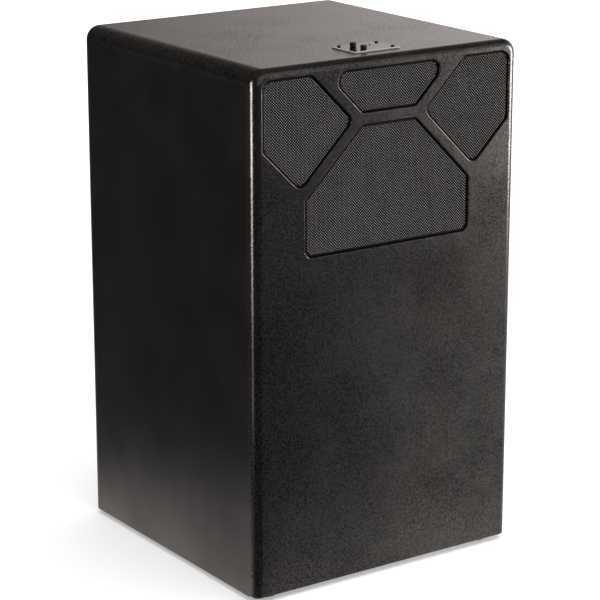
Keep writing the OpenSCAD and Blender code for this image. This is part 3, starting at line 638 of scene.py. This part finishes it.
KNOB_HEIGHT = 3.8 * MM
KNOB_EASE = 0.2 * MM        # chamfer of the foot, run into the ribs, and depth of the dish
KNOB_COLLAR = 0.6 * MM      # plain band under the ribs
KNOB_SHOULDER = 0.6 * MM    # down and in from the top edge, where the side starts to lean
KNOB_CROWN_DROP = 0.15 * MM
KNOB_CROWN_IN = 0.35 * MM
KNOB_LIP = 0.3 * MM         # flat lip, and slope from it into the dish
SHAFT_R = 1.5 * MM
RIBS = 18
RIB_DEPTH = 0.28 * MM
RIB_POINTS = 8
SCREW_HEAD_R = 1.8 * MM
SCREW_HEAD_H = 1.1 * MM
SCREW_RIM_R = 0.5 * MM
SCREW_SIDES = 32
SHANK_R = 1.2 * MM
RECESS_HALF_LENGTH = 1.0 * MM
RECESS_HALF_WIDTH = 0.26 * MM
RECESS_DEPTH = 0.6 * MM
RECESS_TAPER = 0.7          # size of the recess's floor against its mouth
SCREW_TURNS = (0.3, 1.1, 0.7, 0.1)


def control_fascia(material):
    """The control plate with chamfered edges and its holes."""
    low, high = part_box("control_plate")
    thick = high.z - low.z
    *holes, outer = biggest_last(plane_loops("control_plate", 2, high.z), Z)
    bm = bmesh.new()
    steps = outward(outer, Z)
    profile = [(-PLATE_CHAMFER, 0), (0, PLATE_CHAMFER), (0, thick)]
    edge = [ring(bm, outer, steps, Z, out, down) for out, down in profile]
    skin(bm, edge)
    tops, bottoms = [edge[0]], [edge[-1]]
    for loop in holes:
        steps = outward(loop, Z)
        wall = [ring(bm, loop, steps, Z, 0, 0), ring(bm, loop, steps, Z, 0, thick)]
        skin(bm, wall)
        tops.append(wall[0])
        bottoms.append(wall[1])
    fill(bm, tops, Z)
    fill(bm, bottoms, -Z)
    return make_piece(
        "control_fascia", bm, "box", material, ["control_plate"], sharp=30,
    )


def ribbed_knob(node, material):
    """A knob with ribbed sides, a dished top and its shaft."""
    low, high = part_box(node)
    middle = (low + high) / 2
    radius = (high.x - low.x) / 2
    base = high.z - KNOB_HEIGHT
    lip = radius - KNOB_SHOULDER
    profile = [
        # height, radius, rib depth
        (low.z, SHAFT_R, 0),
        (base, SHAFT_R, 0),
        (base, radius - KNOB_EASE, 0),
        (base + KNOB_EASE, radius, 0),
        (base + KNOB_COLLAR, radius, 0),
        (base + KNOB_COLLAR + KNOB_EASE, radius, RIB_DEPTH),
        (high.z - KNOB_SHOULDER, radius, RIB_DEPTH),
        (high.z - KNOB_CROWN_DROP, radius - KNOB_CROWN_IN, RIB_DEPTH / 2),
        (high.z, lip, 0),
        (high.z, lip - KNOB_LIP, 0),
        (high.z - KNOB_EASE, lip - 2 * KNOB_LIP, 0),
    ]
    bm = bmesh.new()
    rings = []
    for height, reach, rib in profile:
        loop = []
        for i in range(RIBS * RIB_POINTS):
            turn = 2 * math.pi * i / (RIBS * RIB_POINTS)
            r = reach - rib * (0.5 - 0.5 * math.cos(RIBS * turn))
            x, y = middle.x + r * math.cos(turn), middle.y + r * math.sin(turn)
            loop.append(bm.verts.new((x, y, height)))
        rings.append(loop)
    skin(bm, rings)
    bm.faces.new(rings[0])
    bm.faces.new(rings[-1])
    name = node.replace("_knob", "_grip")
    return make_piece(name, bm, node, material, [node], sharp=35)


def cross_screw(bm, centre, face, across, length):
    """A pan-head screw with a cross recess; centre is the middle of the head's top."""
    along = face.cross(across)

    def circle(radius, down):
        turns = [2 * math.pi * i / SCREW_SIDES for i in range(SCREW_SIDES)]
        spokes = [across * math.cos(t) + along * math.sin(t) for t in turns]
        return [bm.verts.new(centre + spoke * radius - face * down) for spoke in spokes]

    rim = quarter(SCREW_RIM_R, SMALL_ARC_STEPS)
    rings = [circle(SCREW_HEAD_R - out, down) for out, down in rim]
    below = [(SCREW_HEAD_R, SCREW_HEAD_H), (SHANK_R, SCREW_HEAD_H), (SHANK_R, length)]
    rings += [circle(radius, down) for radius, down in below]
    skin(bm, rings)
    fill(bm, [rings[-1]], -face)
    near, far = RECESS_HALF_WIDTH, RECESS_HALF_LENGTH
    cross = [
        (far, -near), (far, near), (near, near), (near, far), (-near, far), (-near, near),
        (-far, near), (-far, -near), (-near, -near), (-near, -far), (near, -far), (near, -near),
    ]
    arms = [across * u + along * v for u, v in cross]
    mouth = [bm.verts.new(centre + arm) for arm in arms]
    floor = [bm.verts.new(centre + arm * RECESS_TAPER - face * RECESS_DEPTH) for arm in arms]
    skin(bm, [mouth, floor])
    fill(bm, [floor], face)
    fill(bm, [rings[0], mouth], face)


def control_screw_set(material):
    """The four screws that hold the control plate, each turned a little differently."""
    low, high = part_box("control_screws")
    bm = bmesh.new()
    places = [
        (x, y)
        for x in (low.x + SCREW_HEAD_R, high.x - SCREW_HEAD_R)
        for y in (low.y + SCREW_HEAD_R, high.y - SCREW_HEAD_R)
    ]
    for (x, y), turn in zip(places, SCREW_TURNS):
        across = Vector((math.cos(turn), math.sin(turn), 0))
        cross_screw(bm, Vector((x, y, high.z)), Z, across, high.z - low.z)
    return make_piece(
        "control_cross_screws", bm, "box", material, ["control_screws"], sharp=35,
    )


# ---- Studio ----

WARM = (1.0, 0.925, 0.89, 1.0)
WHITE = (1.0, 1.0, 1.0, 1.0)
MATT_LIGHT = 0.6                            # the world's strength for matt surfaces

VIEW_WAY = Vector((0.547, 0.79, 0))         # over the floor, from the front left to the back right
VIEW_RIGHT = Vector((0.823, -0.568, 0))     # square to that, towards the front right
BOUNCE_WAY = Vector((0.547, -0.79, 0))      # the view way turned back by the front board
BOUNCE_RIGHT = Vector((0.79, 0.547, 0))     # square to that, towards the back right

FLOOR_HALF = 6.0
GLOW_LIFT = 0.4 * MM                        # the reflected floor lies this far over the seen one
CONTACT_REACH = 0.2                         # how far the glow at the foot of the front board carries

LAMP_SIZE = 3.0
LAMP_WATTS = 60
LAMP_PLACE = Vector((0.3, -0.6, 2.6))
LAMP_AIM = Vector((0, 0, 0.1))

LEFT_CARD_PLACE = Vector((-0.62, -0.14, 0))
LEFT_CARD_WIDTH = 0.15
LEFT_CARD_HEIGHT = 0.6

KEY_AZIMUTH = math.radians(-34)             # from +X; this card lights the right front edge
KEY_PIVOT = Vector((0.10, -0.15, 0))
KEY_DISTANCE = 1.25
KEY_WIDTH = 0.62
KEY_HEIGHT = 0.75
KEY_STRENGTH = 25.0


def card(name, corners, shading):
    """A flat card that only shows in reflections."""
    mesh = bpy.data.meshes.new(name)
    mesh.from_pydata([tuple(c) for c in corners], [], [(0, 1, 2, 3)])
    material = bpy.data.materials.new(name)
    s = Shading(material)
    strength, colour = shading(s)
    glow = s.add("Emission", {"Color": colour, "Strength": strength})
    out = s.add("OutputMaterial")
    s.tree.links.new(glow.outputs[0], out.inputs[0])
    mesh.materials.append(material)
    o = bpy.data.objects.new(name, mesh)
    bpy.context.scene.collection.objects.link(o)
    for ray in ("camera", "diffuse", "transmission", "volume_scatter", "shadow"):
        setattr(o, "visible_" + ray, False)
    return o


def front_floor(s, place, corner):
    """Bright to the right of the board's near corner, with a glow at the board's foot."""
    right = s.math("SUBTRACT", s.dot(place, BOUNCE_RIGHT), BOUNCE_RIGHT.dot(corner))
    ahead = s.math("MAXIMUM", s.math("SUBTRACT", corner.y, s.dot(place, Y)), 0.0)
    near = s.math("EXPONENT", s.math("MULTIPLY", ahead, -1 / CONTACT_REACH))
    contact = s.math("MULTIPLY", s.math("MULTIPLY", near, 0.9), s.ramp(right, 0.12, 0.3, 1.0, 0.3))
    front = s.math("ADD", s.ramp(right, 0.05, 0.24, 0.04, 0.85), contact)
    return s.math("MULTIPLY", front, s.ramp(right, -0.02, 0.03, 0.1, 1.0))


def left_floor(s, place, left):
    """Fades away from the left side board, sooner towards the back."""
    reach = s.ramp(s.dot(place, Y), -0.15, 0.3, 0.19, 0.055, smooth=False)
    fade = s.math("EXPONENT", s.math("DIVIDE", left, s.math("MULTIPLY", reach, -1.0)))
    return s.math("ADD", s.math("MULTIPLY", fade, 1.1), 0.1)


def floor_glow(s):
    """How bright the floor shows in reflections; behind the object it dims and then rises again."""
    place = s.place()
    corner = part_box("front_plate")[0]
    left = s.math("MAXIMUM", s.math("SUBTRACT", corner.x, s.dot(place, X)), 0.0)
    is_left = s.math("MULTIPLY", s.ramp(left, 0.0, 0.004), s.ramp(s.dot(place, Y), -0.16, -0.12))
    fall = s.ramp(s.dot(place, Y), -0.15, 0.2, 1.0, 0.25)
    rise = s.ramp(s.dot(place, Y), 0.3, 0.8, 0.0, 0.7)
    rest = s.math("ADD", s.math("MULTIPLY", front_floor(s, place, corner), fall), rise)
    parts = {0: is_left, 2: rest, 3: left_floor(s, place, left)}
    return s.add("Mix", parts, data_type="FLOAT").outputs[0], WARM


def make_floor():
    """The pale floor that is seen, which glows more with distance, and the one that reflects."""
    mesh = bpy.data.meshes.new("floor")
    h = FLOOR_HALF
    mesh.from_pydata([(-h, -h, 0), (h, -h, 0), (h, h, 0), (-h, h, 0)], [], [(0, 1, 2, 3)])
    material = bpy.data.materials.new("floor")
    s = Shading(material)
    place = s.place()
    tone = s.noise(place, 0.5, 2.0)
    away = s.add("VectorMath", {0: place}, operation="LENGTH").outputs["Value"]
    s.surface(**{
        "Base Color": s.mix(s.ramp(tone, 0.3, 0.7), grey(0.86), grey(0.88)),
        "Roughness": 0.9,
        "Emission Color": WHITE,
        "Emission Strength": s.ramp(away, 1.0, 3.0, 0.3, 0.9),
    })
    mesh.materials.append(material)
    floor = bpy.data.objects.new("floor", mesh)
    bpy.context.scene.collection.objects.link(floor)
    floor.visible_glossy = False
    lift = GLOW_LIFT
    card("floor_glow", [(-h, -h, lift), (h, -h, lift), (h, h, lift), (-h, h, lift)], floor_glow)


def tall_card(name, centre, toward, width, low_z, high_z, shading):
    """An upright card that faces along a level direction."""
    across = Vector((-toward.y, toward.x, 0)).normalized() * width / 2
    foot, head = centre + Z * low_z, centre + Z * high_z
    return card(name, [foot - across, foot + across, head + across, head - across], shading)


def rising(low_z, high_z, dim, bright):
    """Glow that grows with height from dim to bright, by the same factor for each step up."""
    pace = math.log(bright / dim) / (high_z - low_z)

    def glow(s):
        height = s.ramp(s.dot(s.place(), Z), low_z, high_z, 0.0, high_z - low_z, smooth=False)
        return s.math("MULTIPLY", s.math("EXPONENT", s.math("MULTIPLY", height, pace)), dim), WARM
    return glow


def sideways(centre, toward, width, bright):
    """Glow that is full past the card's middle, fades to nothing at both sides, and is dim at its foot."""
    across = Vector((-toward.y, toward.x, 0)).normalized()

    def glow(s):
        along = s.math("SUBTRACT", s.dot(s.place(), across), across.dot(centre))
        grow = s.ramp(along, -width / 2, 0.0)
        fall = s.ramp(along, 0.3 * width, width / 2, 1.0, 0.0)
        foot = s.ramp(s.dot(s.place(), Z), 0.0, 0.15, 0.05, 1.0)
        sides = s.math("MULTIPLY", grow, fall)
        return s.math("MULTIPLY", sides, s.math("MULTIPLY", foot, bright)), WARM
    return glow


def make_world():
    """What reflections see: bright low behind, a glow in front at the right, dim above.

    The camera sees plain white, and matt surfaces get an even light.
    """
    world = bpy.data.worlds.new("studio")
    bpy.context.scene.world = world
    s = Shading(world)
    view = s.add("TexCoord").outputs["Generated"]
    rise = s.dot(view, Z)
    behind = s.dot(view, VIEW_WAY)
    rightward = s.dot(view, VIEW_RIGHT)
    low_band = s.ramp(rise, 0.36, 0.60, 1.0, 0.2)
    side = s.ramp(rightward, -0.14, 0.14, 0.27, 1.12)
    backdrop = s.math("MULTIPLY", s.ramp(behind, 0.3, 0.85), side)
    ahead = s.ramp(s.dot(view, BOUNCE_WAY), 0.35, 0.75)
    front = s.math("MULTIPLY", ahead, s.ramp(rise, 0.5, 0.75, 1.0, 0.0))
    overhead = s.ramp(rise, 0.55, 0.85, 0.01, 0.13)
    level = s.math("ADD", s.math("MULTIPLY", backdrop, low_band), s.math("ADD", front, overhead))
    glow = s.add("Background", {"Color": WARM, "Strength": level}).outputs[0]
    clear = s.add("Background", {"Color": WHITE, "Strength": 1.0}).outputs[0]
    soft = s.add("Background", {"Color": WHITE, "Strength": MATT_LIGHT}).outputs[0]
    path = s.add("LightPath")
    diffuse = s.add("MixShader", {0: path.outputs["Is Diffuse Ray"], 1: glow, 2: soft}).outputs[0]
    seen = s.add("MixShader", {0: path.outputs["Is Camera Ray"], 1: diffuse, 2: clear}).outputs[0]
    out = s.add("OutputWorld")
    s.tree.links.new(seen, out.inputs[0])


def make_lights():
    """One broad overhead softbox for the floor and the matt parts."""
    data = bpy.data.lights.new("overhead", "AREA")
    data.shape = "RECTANGLE"
    data.size = LAMP_SIZE
    data.size_y = LAMP_SIZE
    data.energy = LAMP_WATTS
    lamp = bpy.data.objects.new("overhead", data)
    lamp.location = LAMP_PLACE
    lamp.rotation_euler = (LAMP_PLACE - LAMP_AIM).to_track_quat("Z", "Y").to_euler()
    lamp.visible_glossy = False
    bpy.context.scene.collection.objects.link(lamp)


def make_studio():
    """World, floor, lamp and the two cards that draw the long highlights."""
    make_world()
    make_floor()
    make_lights()
    left_shading = rising(0.02, 0.30, 1.2, 24.0)
    tall_card("left_card", LEFT_CARD_PLACE, X, LEFT_CARD_WIDTH, 0.0, LEFT_CARD_HEIGHT, left_shading)
    key_way = Vector((math.cos(KEY_AZIMUTH), math.sin(KEY_AZIMUTH), 0))
    key_place = KEY_PIVOT + key_way * KEY_DISTANCE
    key_shading = sideways(key_place, key_way, KEY_WIDTH, KEY_STRENGTH)
    tall_card("key_card", key_place, key_way, KEY_WIDTH, 0.0, KEY_HEIGHT, key_shading)
    bpy.context.scene.view_settings.view_transform = "Standard"


# ---- Build ----

make_camera()
materials = make_materials()
paint_cad_nodes(materials)
front_board(materials["black_paint"])
for pad_side in ("left", "top", "right", "centre"):
    pad_cover(pad_side, materials["pad_rubber"])
control_fascia(materials["control_gloss"])
control_screw_set(materials["black_steel"])
for knob_node in ("volume_knob", "kit_knob"):
    ribbed_knob(knob_node, knob_black(knob_node))
make_studio()
